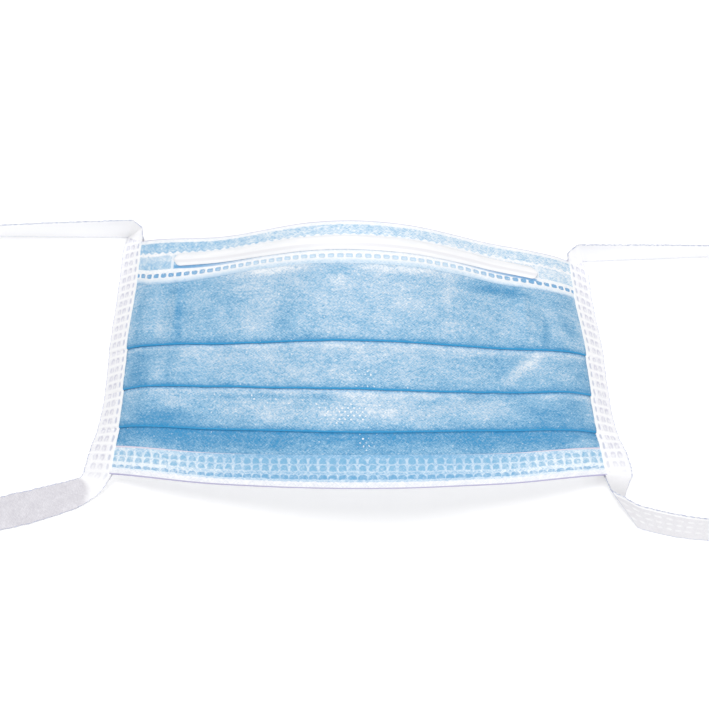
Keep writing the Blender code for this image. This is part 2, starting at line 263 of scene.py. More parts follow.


# Where the blue looks deeper or lighter than round about: the cloth's own tone where the plies
# touch or part, and painted shade where the cloth turns from the light. Places as for CREASES.
TONE_AND_SHADE_PATCHES = (
    (-61, 19, 4, 1.5, 8, -0.30),
    (-71, 19.5, 3, 1.5, 8, -0.32),
    (-28, 14.8, 15, 1.5, 0, 0.50),
    (14, 15, 15, 1.2, 0, 0.40),
    (-58, 28.5, 7, 1.2, -98, -0.32),
    (-65, 29.5, 5.5, 3, -99, 0.14),
    (-73, 28.5, 8, 2, -98, -0.22),
    (-48, 33.5, 5, 1.5, 0, 0.10),
    (-31, 32, 3, 1.5, -26, 0.12),
    (-22, 30, 7, 4.5, -69, -0.20),
    (-5, 19.5, 4, 2, 25, 0.30),
    (-4, 16.3, 5.5, 1.2, -4, -0.30),
    (11, 24.5, 12, 5.5, -3, 0.08),
    (21, 30.5, 5, 2, 0, -0.16),
    (29.5, 21.5, 6, 1.7, -74, 0.22),
    (48, 17.8, 11.5, 2, 0, -0.45),
    (70, 19, 6, 1.7, -10, -0.24),
    (62, 30.5, 4.5, 1.4, -74, -0.28),
    (71.5, 28, 3.5, 3.5, -12, -0.34),
    (66, 26.5, 3, 3, -9, 0.10),
    (-70.5, 45.5, 7, 4.3, -92, -0.32),
    (-63.5, 48, 2.5, 3, -63, 0.24),
    (-60, 45, 1.4, 5.5, 0, -0.16),
    (-52, 40, 5, 1.1, -3, 0.18),
    (1, 40.5, 3, 1, 0, 0.14),
    (42.5, 41.5, 4.5, 1.8, -11, -0.20),
    (34, 44.5, 16, 5, 0, -0.14),
    (48, 43, 4.3, 2, -41, -0.24),
    (53, 43.5, 9.5, 2, -39, 0.36),
    (73, 45, 4.5, 5.5, -9, -0.16),
    (-57, 58, 4.3, 2, 3, 0.34),
    (-61.5, 62, 11, 2.4, -4, -0.30),
    (-28.5, 55.2, 16, 1.1, 0, -0.28),
    (-11, 55, 5.5, 1.5, 0, -0.38),
    (7, 55, 12, 1.6, 0, 0.12),
    (-30.5, 59.2, 10, 2.4, 4, 0.14),
    (4, 59.5, 10.5, 3, 0, 0.12),
    (44.5, 54, 17, 1.4, 0, -0.32),
    (25.5, 55.5, 3, 1.3, -17, -0.22),
    (39.5, 58.5, 6, 2.7, -22, 0.18),
    (64, 59.5, 11.5, 4, -6, -0.26),
    (60.5, 54.5, 4, 1, 0, 0.18),
    (-24.5, 69, 2.4, 1, -21, -0.28),
    (71, 69.7, 3.7, 1.8, -19, 0.22),
    (-42, 70.4, 13, 0.8, 2, 0.14),
    (-65, 71, 6, 1.5, 8, 0.14),
    (24.5, 69.8, 12.5, 1, 0, 0.12),
)
# Where the bond points catch the light
GLINTS = (
    (-3, 60.5, 7.5, 3, 0, 1.00),
    (2, 48, 5.5, 3, 0, 0.70),
    (2.5, 68, 3, 2.5, 0, 0.80),
    (-26, 59, 19, 3, 0, 0.35),
    (4.5, 57.5, 17.5, 2.5, 0, 0.45),
    (-34, 55.5, 19.5, 1.5, 0, 0.40),
    (0.5, 16.2, 5, 1.2, 0, 0.50),
)


def layer_step(across):
    """From one layer's middle to the next one's: pressed together at the sides."""
    inward = (1 - np.abs(across)) * WIDTH / 2
    return LAYER_SIDE + (LAYER_MIDDLE - LAYER_SIDE) * smooth(0.010, 0.026, inward)


def shell(name, front, thickness, uv, materials, flip=False):
    """Closed thin sheet about a grid of middle points, with its size in mm as UV.

    Slot 0 is worn by the front and the rim, the last slot by the back.
    """
    rows, columns = front.shape[:2]
    along = np.gradient(front, axis=1)
    down = np.gradient(front, axis=0)
    normal = np.cross(along, -down)
    half = unit(-normal if flip else normal) * thickness / 2
    points = np.concatenate([(front + half).reshape(-1, 3), (front - half).reshape(-1, 3)])
    index = np.arange(rows * columns).reshape(rows, columns)
    quads = np.stack([index[:-1, :-1], index[1:, :-1], index[1:, 1:], index[:-1, 1:]], axis=-1)
    quads = quads.reshape(-1, 4)
    under = quads[:, ::-1] + rows * columns
    ring = np.concatenate([index[0, :], index[1:, -1], index[-1, -2::-1], index[-2:0:-1, 0]])
    after = np.roll(ring, -1)
    rim = np.stack([ring, after, after + rows * columns, ring + rows * columns], axis=-1)
    if flip:
        quads, under, rim = quads[:, ::-1], under[:, ::-1], rim[:, ::-1]
    faces = np.concatenate([quads, under, rim])
    mesh = bpy.data.meshes.new(name)
    mesh.vertices.add(len(points))
    mesh.vertices.foreach_set("co", points.astype(np.float32).ravel())
    mesh.loops.add(faces.size)
    mesh.loops.foreach_set("vertex_index", faces.astype(np.int32).ravel())
    mesh.polygons.add(len(faces))
    mesh.polygons.foreach_set("loop_start", np.arange(0, faces.size, 4, dtype=np.int32))
    slots = np.zeros(len(faces), np.int32)
    slots[len(quads):2 * len(quads)] = len(materials) - 1
    mesh.polygons.foreach_set("material_index", slots)
    mesh.update(calc_edges=True)
    layer = mesh.uv_layers.new(name="cloth")
    both = np.tile(uv.reshape(-1, 2), (2, 1))
    layer.data.foreach_set("uv", both[faces.ravel()].astype(np.float32).ravel())
    for material in materials:
        mesh.materials.append(material)
    mesh.shade_smooth()
    mesh.set_sharp_from_angle(angle=math.radians(60))
    mesh.validate()
    piece = bpy.data.objects.new(name, mesh)
    bpy.context.scene.collection.objects.link(piece)
    return piece


def path_length(grid, axis):
    """Distance along a grid of points from its first row or column, in metres."""
    steps = np.linalg.norm(np.diff(grid, axis=axis), axis=2)
    start = np.zeros_like(np.take(steps, [0], axis=axis))
    return np.concatenate([start, np.cumsum(steps, axis=axis)], axis=axis)


# Materials


class Tree:
    """Shorthand for building one material's nodes."""

    def __init__(self, name, roughness, sheen=0.0, sheen_roughness=0.5, specular=0.3):
        self.material = bpy.data.materials.new(name)
        self.material.use_nodes = True
        self.tree = self.material.node_tree
        self.shader = self.tree.nodes["Principled BSDF"]
        for key, value in (
                ("Roughness", roughness), ("Sheen Weight", sheen),
                ("Sheen Roughness", sheen_roughness), ("Specular IOR Level", specular)):
            self.shader.inputs[key].default_value = value
        uv = self.tree.nodes.new("ShaderNodeUVMap")
        uv.uv_map = "cloth"
        parts = self.node("ShaderNodeSeparateXYZ", [uv.outputs[0]])
        self.u, self.v = parts.outputs[0], parts.outputs[1]

    def node(self, kind, values=(), **settings):
        made = self.tree.nodes.new(kind)
        for key, value in settings.items():
            setattr(made, key, value)
        pairs = values.items() if isinstance(values, dict) else enumerate(values)
        for key, value in pairs:
            if isinstance(value, bpy.types.NodeSocket):
                self.tree.links.new(value, made.inputs[key])
            elif value is not None:
                made.inputs[key].default_value = value
        return made

    def math(self, operation, *values):
        return self.node("ShaderNodeMath", values, operation=operation).outputs[0]

    def swing(self, value, amount):
        """How far a value is from 0.5, times an amount."""
        return self.mul(self.sub(value, 0.5), amount)

    def add(self, a, b):
        return self.math("ADD", a, b)

    def sub(self, a, b):
        return self.math("SUBTRACT", a, b)

    def mul(self, a, b):
        return self.math("MULTIPLY", a, b)

    def step(self, value, start, end, low=0.0, high=1.0):
        settings = {"Value": value, "From Min": start, "From Max": end, "To Min": low, "To Max": high}
        made = self.node("ShaderNodeMapRange", settings, interpolation_type="SMOOTHSTEP")
        return made.outputs["Result"]

    def painted(self, label):
        return self.node("ShaderNodeAttribute", attribute_name=label).outputs["Fac"]

    def ramp(self, value, stops):
        """Colours at given values, blended between them."""
        low, high = stops[0][0], stops[-1][0]
        made = self.node("ShaderNodeValToRGB", [self.mul(self.sub(value, low), 1 / (high - low))])
        elements = made.color_ramp.elements
        while len(elements) < len(stops):
            elements.new(0.5)
        for element, (at, colour) in zip(elements, stops):
            element.position = (at - low) / (high - low)
            element.color = (*srgb(*colour), 1)
        return made.outputs["Color"]

    def noise(self, across, down, detail=3.0, roughness=0.55, shift=0.0, turn=0.0):
        """Noise with features about across by down mm, turned by some degrees."""
        cosine, sine = math.cos(math.radians(turn)), math.sin(math.radians(turn))
        along = self.add(self.mul(self.u, cosine / across), self.mul(self.v, sine / across))
        aside = self.sub(self.mul(self.v, cosine / down), self.mul(self.u, sine / down))
        at = self.node("ShaderNodeCombineXYZ", [along, aside, shift]).outputs[0]
        settings = {"Vector": at, "Scale": 1.0, "Detail": detail, "Roughness": roughness}
        return self.node("ShaderNodeTexNoise", settings).outputs["Fac"]

    def fibres(self, shift):
        """Short strands lying both ways, about 0.5 where they are even."""
        one = self.noise(1.5, 0.34, 2.0, 0.7, shift, 33)
        other = self.noise(1.5, 0.34, 2.0, 0.7, shift + 3, -36)
        return self.mul(self.add(one, other), 0.5)

    def mix(self, factor, first, second):
        made = self.node("ShaderNodeMix", data_type="RGBA")
        for socket, value in ((made.inputs[0], factor), (made.inputs[6], first), (made.inputs[7], second)):
            if isinstance(value, bpy.types.NodeSocket):
                self.tree.links.new(value, socket)
            elif isinstance(value, float):
                socket.default_value = value
            else:
                socket.default_value = (*value, 1)
        return made.outputs[2]

    def marks(self, u, v, pitch, size, row=None, row_pitch=0.0, stagger=0.0, power=2.0, soft=0.35):
        """1 inside round or square marks in one row at v = row, or in a lattice."""
        if row is None:
            number = self.math("FLOOR", self.mul(v, 1 / row_pitch))
            odd = self.math("FLOORED_MODULO", number, 2.0)
            u = self.add(u, self.mul(odd, stagger * pitch))
            away = self.swing(self.math("FRACT", self.mul(v, 1 / row_pitch)), row_pitch)
        else:
            away = self.sub(v, row)
        beside = self.swing(self.math("FRACT", self.mul(u, 1 / pitch)), pitch)
        a, b = (
            self.math("POWER", self.math("ABSOLUTE", self.mul(way, 2 / full)), power)
            for way, full in zip((beside, away), size))
        return self.step(self.add(a, b), 1 + soft, 1 - soft)

    def wobble(self, amount, size, shift):
        """u and v pushed about a little, so that marks aren't all alike."""
        u = self.add(self.u, self.swing(self.noise(size, size, 1.0, 0.5, shift), amount))
        v = self.add(self.v, self.swing(self.noise(size, size, 1.0, 0.5, shift + 7), amount))
        return u, v

    def finish(self, colour, height, depth=FIBRE_DEPTH):
        self.tree.links.new(colour, self.shader.inputs["Base Color"])
        bump = self.node("ShaderNodeBump", {"Height": height, "Distance": depth, "Strength": 1.0})
        self.tree.links.new(bump.outputs[0], self.shader.inputs["Normal"])
        return self.material


def srgb(red, green, blue):
    """Linear colour of an 8-bit one."""
    values = [c / 255 for c in (red, green, blue)]
    return tuple(c / 12.92 if c <= 0.04045 else ((c + 0.055) / 1.055) ** 2.4 for c in values)


WHITE = srgb(246, 245, 249)


def body_material():
    """Blue spunbond face: mottled fibres, streaks across and pressed bond points, with painted shade, glints
    and fold lines.
    """
    t = Tree("blue_cloth", 0.75, sheen=0.12, sheen_roughness=0.45)
    cloud = t.noise(6.0, 4.0, 3.0, 0.6, 1.0)
    streak = t.noise(2.8, 0.7, 3.0, 0.6, 4.0)
    fibre = t.fibres(9.0)
    speck = t.noise(0.50, 0.40, 1.0, 0.6, 15.0)
    u, v = t.wobble(0.4, 3.0, 2.0)
    points = t.marks(u, v, 1.7, (0.60, 0.55), row_pitch=1.1, stagger=0.5)
    tone, glint, fold_line_shade = (t.painted(label) for label in ("tone", "glint", "fold_line_shade"))
    broad = t.noise(16.0, 7.0, 2.0, 0.6, 27.0, 12)
    for part, strength in ((broad, 0.55), (cloud, 0.75), (streak, 0.70), (fibre, 2.70), (speck, 0.80)):
        tone = t.add(tone, t.swing(part, strength))
    tone = t.add(tone, t.mul(points, 0.10))
    colour = t.ramp(tone, (
        (-0.75, (22, 131, 194)), (-0.35, (57, 146, 198)), (0.0, (88, 153, 198)), (0.5, (145, 190, 221)),
        (0.75, (178, 206, 229)), (1.0, (204, 221, 236)), (1.3, (236, 242, 248))))
    patchy = t.sub(t.noise(2.6, 1.6, 1.0, 0.5, 21.0), 0.5)
    lit = t.add(glint, t.add(t.mul(patchy, 2.4), t.swing(speck, 2.0)))
    spark = t.mul(points, t.step(lit, 0.45, 1.0))
    colour = t.mix(spark, colour, srgb(248, 251, 254))
    # Painted shade: the deep blue line along each fold's turn, fainter just below it
    colour = t.mix(fold_line_shade, colour, srgb(54, 154, 208))
    height = t.add(t.mul(streak, 0.3), t.sub(t.mul(fibre, 1.2), t.mul(points, 0.5)))
    return t.finish(colour, height)


def lining_material():
    """White inner ply, with the same bond points."""
    t = Tree("white_lining", 0.8, sheen=0.2)
    cloud = t.noise(6.0, 4.0, 3.0, 0.6, 3.0)
    fibre = t.noise(1.4, 0.4, 3.0, 0.7, 5.0)
    points = t.marks(t.u, t.v, 1.9, (0.9, 0.5), row_pitch=1.1, stagger=0.5)
    colour = t.mix(t.step(cloud, 0.3, 0.7), srgb(226, 231, 238), WHITE)
    colour = t.mix(t.mul(points, 0.35), colour, srgb(206, 214, 226))
    height = t.sub(t.mul(fibre, 0.8), t.mul(points, 0.6))
    return t.finish(colour, height)


def top_hem_material():
    """Pale blue hem: white edge, mottled band, and rows of weld marks by the wire."""
    t = Tree("top_hem_cloth", 0.76, sheen=0.12)
    u, v = t.wobble(0.5, 1.5, 1.0)
    cloud = t.noise(3.0, 1.6, 3.0, 0.65, 2.0)
    tone = t.add(t.swing(cloud, 1.1), t.swing(t.fibres(8.0), 3.0))
    half = t.math("ABSOLUTE", t.u)
    side = t.step(half, 25.0, 62.0)
    paler = t.sub(t.mul(t.step(t.u, 20.0, 62.0), 0.26), t.mul(side, 0.24))
    band = t.ramp(t.add(t.add(tone, paler), 0.5), (
        (0.0, (136, 187, 223)), (0.35, (182, 212, 234)), (0.6, (217, 231, 243)), (1.0, (246, 249, 252))))
    white = t.ramp(t.add(tone, 0.5), ((0.1, (228, 236, 245)), (0.5, (243, 246, 250)), (0.8, (252, 252, 254))))
    wave = t.mul(t.math("COSINE", t.mul(u, 2 * math.pi / TOP_PITCH)), 0.32)
    # Painted edge shade: a lilac line where the hem turns over the top edge
    edge = t.step(t.math("ABSOLUTE", t.v), 0.36, 0.22)
    colour = t.mix(edge, white, srgb(206, 206, 226))
    colour = t.mix(t.step(v, 1.25, 1.55), colour, band)
    colour = t.mix(t.step(t.add(v, wave), 4.7, 4.95), colour, white)
    patch = t.mul(t.step(t.sub(v, t.mul(tone, 0.5)), 5.6, 6.1), t.step(v, 10.5, 10.2))
    colour = t.mix(t.mul(patch, t.step(v, 5.5, 10.2, 0.6, 1.0)), colour, band)
    # Painted shadow under the bar: a blue line along its lower edge that follows its sag, stronger towards
    # the sides
    share = t.mul(t.u, 2 / (WIRE_LENGTH / MM))
    fourth = t.math("POWER", t.math("ABSOLUTE", share), 4.0)
    on_left = t.math("LESS_THAN", t.u, 0.0)
    sag = t.mul(t.sub(0.95, t.mul(on_left, t.add(0.95, t.mul(fourth, 0.75)))), fourth)
    below = t.sub(t.v, sag)
    shadow_under_bar = t.mul(t.step(below, 9.9, 10.1), t.step(below, 11.15, 10.85))
    shadow_under_bar = t.mul(shadow_under_bar, t.step(half, 63.5, 61.5))
    colour = t.mix(t.mul(shadow_under_bar, t.add(0.10, t.mul(side, 0.80))), colour, srgb(104, 164, 212))
    gap = t.marks(u, v, TOP_PITCH, (2.0, 1.35), row=TOP_MARKS[0], power=4.0)
    gap = t.mul(gap, t.step(tone, -0.45, -0.05, 0.35, 0.95))
    hollow = t.marks(u, v, TOP_PITCH, (1.2, 0.6), row=TOP_MARKS[0] + 0.2, power=2.2)
    colour = t.mix(gap, colour, t.mix(side, srgb(190, 218, 239), srgb(108, 168, 214)))
    colour = t.mix(t.mul(hollow, t.sub(0.8, t.mul(side, 0.8))), colour, srgb(216, 231, 244))
    ragged = t.add(v, t.mul(tone, 1.4))
    colour = t.mix(t.mul(t.step(ragged, 12.9, 14.2), t.sub(0.85, t.mul(side, 0.4))), colour, band)
    dissolved = t.mix(side, srgb(202, 224, 241), srgb(134, 184, 220))
    colour = t.mix(t.mul(t.step(ragged, 14.1, 14.9), 0.75), colour, dissolved)
    streak = t.mul(t.step(half, 62.3, 62.6), t.step(half, 63.6, 63.3))
    streak = t.mul(streak, t.mul(t.step(v, 5.6, 6.0), t.step(v, 11.6, 11.2)))
    colour = t.mix(t.mul(streak, 0.8), colour, srgb(238, 243, 249))
    height = t.sub(t.mul(tone, 0.3), t.mul(gap, 0.8))
    return t.finish(colour, height)


def bottom_hem_material():
    """Hem with three rows of blue weld marks in a white net, and a white edge."""
    t = Tree("bottom_hem_cloth", 0.76, sheen=0.12)
    u, v = t.wobble(0.7, 1.5, 3.0)
    cloud = t.noise(3.0, 1.6, 3.0, 0.65, 6.0)
    tone = t.add(t.swing(cloud, 1.0), t.swing(t.fibres(8.0), 2.6))
    uneven = t.step(t.noise(1.4, 1.0, 2.0, 0.6, 12.0), 0.30, 0.62, 0.35, 1.0)
    side = t.step(t.math("ABSOLUTE", t.u), 22.0, 70.0)
    paler = t.add(t.mul(side, 0.55), t.step(t.v, 3.6, 7.4, 0.02, -0.24))
    colour = t.ramp(t.add(t.add(tone, paler), 0.5), (
        (0.1, (122, 177, 216)), (0.5, (162, 200, 229)), (0.8, (200, 222, 240)), (1.1, (238, 245, 250))))
    for row, size, deeper in zip(BOTTOM_MARKS, BOTTOM_SIZES, BOTTOM_DEEPER):
        cell = t.marks(u, v, BOTTOM_PITCH, (3.4, 1.7), row=row - 0.25, power=3.0)
        mark = t.marks(u, v, BOTTOM_PITCH, (size[0], size[1] * 2), row=row - size[1] * 0.45, power=2.2)
        mark = t.mul(mark, t.step(v, row + size[1] * 0.55, row + size[1] * 0.35))
        mark = t.mul(mark, t.step(v, row - size[1] * 0.75, row - size[1] * 0.45))
        net = t.mul(t.math("MAXIMUM", t.sub(cell, mark), 0.0), uneven)
        colour = t.mix(t.mul(net, 0.48), colour, srgb(232, 241, 249))
        blue = t.mix(deeper, srgb(122, 180, 216), srgb(78, 154, 204))
        colour = t.mix(t.mul(mark, t.mul(uneven, 0.75)), colour, blue)
    white = t.ramp(t.add(tone, 0.5), ((0.1, (225, 229, 238)), (0.5, (238, 240, 246)), (0.8, (249, 250, 253))))
    colour = t.mix(t.step(v, 1.75, 1.45), colour, white)
    # Painted edge shade: a lilac line where the hem turns over the bottom edge
    colour = t.mix(t.step(t.math("ABSOLUTE", t.v), 0.36, 0.20), colour, srgb(182, 178, 210))
    colour = t.mix(t.step(t.v, 7.9, 8.1), colour, srgb(222, 214, 228))
    return t.finish(colour, t.mul(tone, 0.3))


def strip_material():
    """White binding with three rows of faint weld marks; its lower ties are greyer."""
    t = Tree("white_strip", 0.76, sheen=0.12)
    u, v = t.wobble(0.5, 1.6, 5.0)
    cloud = t.noise(4.0, 4.0, 3.0, 0.6, 6.0)
    tone = t.add(t.swing(cloud, 0.7), t.swing(t.fibres(8.0), 2.0))
    white = t.ramp(t.add(tone, 0.5), ((0.1, (236, 236, 243)), (0.5, (247, 247, 251)), (0.8, (253, 253, 254))))
    grey = t.ramp(t.add(tone, 0.5), ((0.1, (202, 199, 207)), (0.5, (215, 213, 219)), (0.8, (228, 226, 232))))
    plain, welded, dashes_and_highlight, shade_line = (t.painted(label) for label in STRIP_LABELS)
    colour = t.mix(plain, t.mix(welded, srgb(250, 250, 252), white), grey)
    half = t.math("ABSOLUTE", u)
    outer_rows = [
        t.marks(v, half, STRIP_PITCH, STRIP_MARK, row=row, power=2.6, soft=0.7)
        for row in STRIP_MARKS[:2]]
    big = t.add(*outer_rows)
    small = t.marks(v, half, STRIP_PITCH, STRIP_INNER_MARK, row=STRIP_MARKS[2], power=2.4, soft=0.6)
    inside = t.sub(v, 0.35)
    for row in STRIP_MARKS[:2]:
        hollow = t.marks(inside, half, STRIP_PITCH, (1.5, 1.1), row=row, power=2.2, soft=0.6)
        big = t.math("MAXIMUM", t.sub(big, t.mul(hollow, 0.6)), 0.0)
    uneven = t.step(t.noise(1.4, 1.6, 2.0, 0.6, 12.0), 0.28, 0.64, 0.25, 1.0)
    colour = t.mix(t.mul(t.mul(big, uneven), welded), colour, srgb(210, 210, 224))
    colour = t.mix(t.mul(small, t.mul(welded, 0.85)), colour, srgb(198, 204, 222))
    rung = t.math("ABSOLUTE", t.sub(t.math("FRACT", t.add(t.mul(v, 1 / STRIP_PITCH), 0.5)), 0.5))
    colour = t.mix(t.mul(t.step(rung, 0.14, 0.08), welded), colour, srgb(252, 252, 254))
    outer, middle, inner = (
        t.marks(v, half, STRIP_PITCH, (1.9, 0.9), row=row, power=2.4, soft=0.6)
        for row in (3.2, 5.6, 7.9))
    strokes = t.add(t.add(outer, middle), inner)
    colour = t.mix(t.mul(t.mul(strokes, dashes_and_highlight), t.mul(uneven, 0.9)), colour, srgb(250, 250, 252))
    # Painted highlight along the upper edge of the lower right tie, where its folded edge meets the light
    edge = t.math("ABSOLUTE", t.u)
    colour = t.mix(t.mul(t.step(edge, 9.5, 9.9), dashes_and_highlight), colour, srgb(253, 253, 254))
    # Painted edge shade: dotted lilac-blue lines on the strip's edges, the inner one only off the welds, and
    # the painted shade line at the lower right tie's fold
    rim = t.add(t.step(edge, 0.25, 0.05), t.mul(t.step(edge, 10.35, 10.5), t.sub(1.0, welded)))
    dotted = t.step(t.noise(0.8, 0.9, 1.0, 0.5, 31.0), 0.42, 0.58)
    rim = t.mul(rim, t.add(0.15, t.mul(dotted, 0.60)))
    colour = t.mix(t.math("MAXIMUM", rim, shade_line), colour, srgb(178, 186, 214))
    inner = t.mul(t.step(t.u, 9.4, 9.7), welded)
    colour = t.mix(inner, colour, srgb(252, 253, 254))
    pressed = t.mul(t.add(big, small), welded)
    height = t.sub(t.mul(tone, 0.3), t.mul(pressed, 0.5))
    return t.finish(colour, height)


def wire_material():
    """White coated bar, with painted shade as a faint grey line along its lower half."""
    t = Tree("coated_bar", 0.45, specular=0.4)
    cloud = t.noise(9.0, 2.0, 2.0, 0.5, 6.0)
    colour = t.mix(t.step(cloud, 0.3, 0.7), srgb(244, 245, 248), srgb(251, 251, 253))
    shade_line = t.mul(t.step(t.v, 2.4, 2.9), t.step(t.v, 3.9, 3.4))
    colour = t.mix(shade_line, colour, srgb(236, 236, 240))
    return t.finish(colour, cloud, 0.00005)


# Pieces


def paint(piece, label, values):
    """A number at each grid point, the same on both sides of the sheet."""
    layer = piece.data.attributes.new(label, "FLOAT", "POINT")
    layer.data.foreach_set("value", np.tile(np.asarray(values).ravel(), 2).astype(np.float32))


def dents(along, aside, pitch, rows):
    """1 in the middle of each weld mark, falling to 0 between them. All in mm."""
    beside = ((along / pitch) % 1 - 0.5) * pitch
    long, deep = DENT_SIZE
    return sum(np.exp(-(2 * beside / long) ** 4 - (2 * (aside - row) / deep) ** 4) for row in rows)


def panel_number(drop):
    return np.digitize(drop, FOLDS)


def patches(table, across, drop):
    """Sum of soft-edged patches, each kept within its own panel."""
    across, drop = np.broadcast_arrays(across, drop)
    x, y = across * WIDTH / 2 / MM, drop / MM
    total = np.zeros(x.shape)
    for amount, along, aside, down in spots(table, x, y):
        own = panel_number(drop) == panel_number(down * MM)
        total = total + amount * np.exp(-np.abs(along) ** 3 - aside ** 2) * own
    return total


# For each panel from the top: its tone in the middle, beside the bindings, and how
# much deeper it is between them; the deeper values are partly painted shade, as the
# last panel lies under the third fold and the flanks turn from the light
PANEL_TONES_AND_SHADE = np.array([
    (0.71, 0.68, 0.18),
    (0.72, 0.56, 0.10),
    (0.72, 0.58, 0.20),
    (0.08, 0.16, 0.12)])
TONE_SIDE = (0.012, 0.040)  # from a side edge: where the first two blend
# Painted shade on each flank, where the cloth turns from the light
FLANK_SHADE = (0.62, 0.22)  # where it is deeper: share across, and spread
# Painted shade above each fold where the panel curls under, a painted shadow just below it, and a painted
# highlight a little lower where the next panel rises towards the light
SHADE_ABOVE_FOLD = ((0.50, 0.0009), (0.16, 0.0030))  # deeper by, and how far it reaches up
SHADOW_UNDER_FOLD = (0.75, 0.0004)  # the same just below a fold
HIGHLIGHT_UNDER_FOLD = (0.22, 0.0017, 0.0009)  # then lighter by, how far below, half width
TURN_TONE = -0.30  # of a pleat's turns and hidden layers


def body_tone_and_shade(across, drop, turn):
    """0 where the blue cloth looks deep, 1 where it looks light, painted shade and highlights included."""
    across, drop, turn = np.broadcast_arrays(across, drop, turn)
    inward = (1 - np.abs(across)) * WIDTH / 2
    panel = panel_number(drop)
    middle, edge, deeper = (PANEL_TONES_AND_SHADE[panel, k] for k in range(3))
    tone = edge + (middle - edge) * smooth(*TONE_SIDE, inward)
    # Painted shade over the last panel, lighter towards the bottom hem
    less_shade_to_hem = smooth(FOLD_3 + 0.002, LOW_HEM_EDGE, drop) * 0.24
    tone = tone + np.where(panel == 3, less_shade_to_hem, 0.0)
    above = fold_below(drop) - drop
    fold_above = np.select([panel == 1, panel == 2, panel == 3], list(FOLDS), -1.0)
    below = drop - fold_above
    side, spread = FLANK_SHADE
    tone = tone - deeper * np.exp(-((np.abs(across) - side) / spread) ** 2)
    # Painted light: the right side a little lighter
    tone = tone + 0.06 * smooth(0.3, 0.9, across)
    for amount, reach in SHADE_ABOVE_FOLD:
        tone = tone - amount * np.exp(-above / reach)
    amount, reach = SHADOW_UNDER_FOLD
    tone = tone - amount * np.exp(-below / reach)
    amount, at, reach = HIGHLIGHT_UNDER_FOLD
    tone = tone + amount * np.exp(-(((below - at) / reach) ** 2)) * (panel != 3)
    return np.where(turn > 0, TURN_TONE, tone - 0.04 + 1.1 * patches(TONE_AND_SHADE_PATCHES, across, drop))


def stations(*spans):
    """Joined runs of values: (start, end, how many), each without its end."""
    runs = [np.linspace(start, end, count, endpoint=False) for start, end, count in spans]
    return np.concatenate(runs + [[spans[-1][1]]])


LEFT_HALF = -inward_share(stations((SIDE_INSET, FINE_SIDE, 18), (FINE_SIDE, WIDTH / 2, 104)))
ACROSS = np.concatenate([LEFT_HALF, -LEFT_HALF[-2::-1]])


def panel_level(drop, step):
    """How far the outer layer lies off the arch: each panel starts under a fold."""
    level = np.zeros(np.broadcast(drop, step).shape)
    ends = (FOLD_2, FOLD_3, LOW_HEM_EDGE)
    for start, end in zip(FOLDS, ends):
        level = np.where(drop > start, -(step + CLOTH + FOLD_GAP) * (1 - smooth(start, end, drop)), level)
    return level


def fold_below(drop):
    """The fold that a place's panel ends in, or the bottom edge."""
    return np.select([drop <= fold for fold in FOLDS], list(FOLDS), HEIGHT + NO_FOLD)


def body_rows():
    """The serpentine down the body: drop, turns under the outer layer, its fold."""
    rows = []

    def panel(start, end, steps, last=False):
        share = np.linspace(0, 1, steps, endpoint=last)
        share = share - 0.7 * np.sin(2 * math.pi * share) / (2 * math.pi)
        rows.extend((drop, 0.0, drop) for drop in start + (end - start) * share)

    panel(EDGE_INSET, TOP_HEM - UNDER_TOP_HEM, 5)
    panel(TOP_HEM - UNDER_TOP_HEM, FOLD_1, 48)
    for number, fold in enumerate(FOLDS):
        depth = PLEATS[number]
        for angle in np.radians((30, 60, 90, 120, 150, 180)):
            rows.append((fold + FOLD_TURN * math.sin(angle), (1 - math.cos(angle)) / 2, fold))
        rows.append((fold - depth * 0.35, 1.0, fold))
        rows.append((fold - depth * 0.70, 1.0, fold))
        for angle in np.radians((0, 45, 90, 135, 180)):
            up = depth + FOLD_TURN * math.sin(angle)
            rows.append((fold - up, 1 + (1 - math.cos(angle)) / 2, fold))
        rows.append((fold - depth * 0.55, 2.0, fold))
        rows.append((fold - UNDER_FOLD, 2.0, fold))
        after = (FOLD_2, FOLD_3, LOW_HEM_EDGE - ABOVE_LOW_HEM)[number]
        panel(fold + BELOW_FOLD, after, (34, 29, 15)[number])
    panel(LOW_HEM_EDGE - ABOVE_LOW_HEM, HEIGHT - EDGE_INSET, 5, last=True)
    return np.array(rows)


def pleated_body():
    rows = body_rows()
    drop, turn, fold = (rows[:, k][:, None] for k in range(3))
    across = ACROSS[None, :]
    step = layer_step(across)
    level = panel_level(np.minimum(drop, fold), step) * (turn < 0.01)
    over = panel_level(np.minimum(drop, fold - 1e-6), step)
    dip = -FOLD_DIP * np.exp(-np.maximum(fold_below(drop) - drop, 0) / FOLD_DIP_REACH)
    height = np.where(turn > 0, over - turn * step, level) + dip * (step / LAYER_MIDDLE)
    bulge = relief(across, drop)
    grid = place(across, drop, height + bulge)
    grid[..., 2] = np.maximum(grid[..., 2], CLOTH * LEAST_HEIGHT)
    u = np.broadcast_to(across * WIDTH / 2, grid.shape[:2])
    v = path_length(grid, 0).mean(axis=1)[:, None] * np.ones_like(across)
    piece = shell("cloth_body", grid, CLOTH, np.stack([u, v], axis=-1) / MM, [BODY, LINING])
    paint(piece, "tone", body_tone_and_shade(across, drop, turn))
    paint(piece, "glint", np.clip(patches(GLINTS, across, drop), 0, 1))
    # Painted shade of each fold line: full on the turn and hidden layers, 0.6 on the first row below
    fold_line_shade = np.where(turn > 0, 1.0, 0.0) * np.ones_like(across)
    fold_line_shade[1:] = np.where((turn[1:] == 0) & (turn[:-1] > 0), 0.6, fold_line_shade[1:])
    paint(piece, "fold_line_shade", fold_line_shade)
    return piece, float(v[-1, 0])


